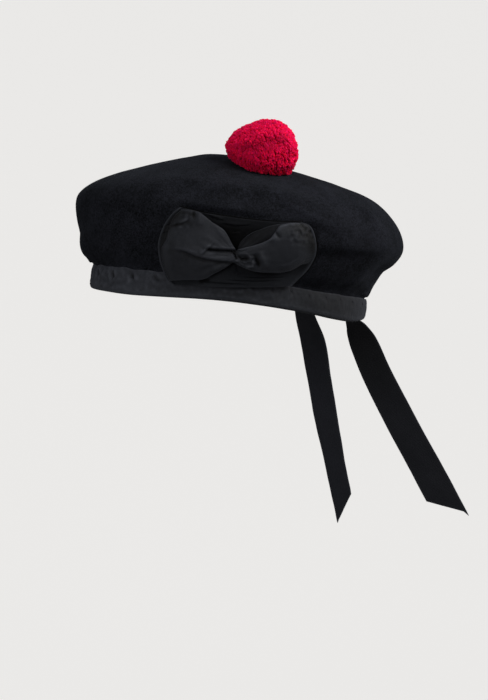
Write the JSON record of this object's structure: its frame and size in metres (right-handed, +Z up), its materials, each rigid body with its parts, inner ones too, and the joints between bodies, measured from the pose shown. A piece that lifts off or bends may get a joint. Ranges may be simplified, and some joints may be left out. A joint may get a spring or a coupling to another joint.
{
  "type": "balmoral hat",
  "caption": "Black felted wool balmoral bonnet worn tipped back, with a ribbon headband, a flat bow cockade on the wearer's left, a red wool pompom and ribbon tails behind.",
  "frame": {"origin": "middle of the headband's lower edge, where the head goes in", "axes": "+Z up, +X towards the wearer's left, -Y towards the front; the hat is tipped back about +X by 8.2 degrees"},
  "size_m": [0.2392, 0.2636, 0.3168],
  "materials": {
    "felt": "matte felted wool",
    "band_ribbon": "dull woven ribbon",
    "cockade_ribbon": "dull woven ribbon",
    "tail_ribbon": "dull woven ribbon",
    "red_wool": "cut wool yarn"
  },
  "bodies": {
    "root": {"crown": "felt", "headband": "band_ribbon", "pompom": "red_wool", "cockade_patch": "cockade_ribbon", "cockade_bow": "cockade_ribbon", "tail_left": "tail_ribbon", "tail_right": "tail_ribbon"}
  },
  "joints": []
}
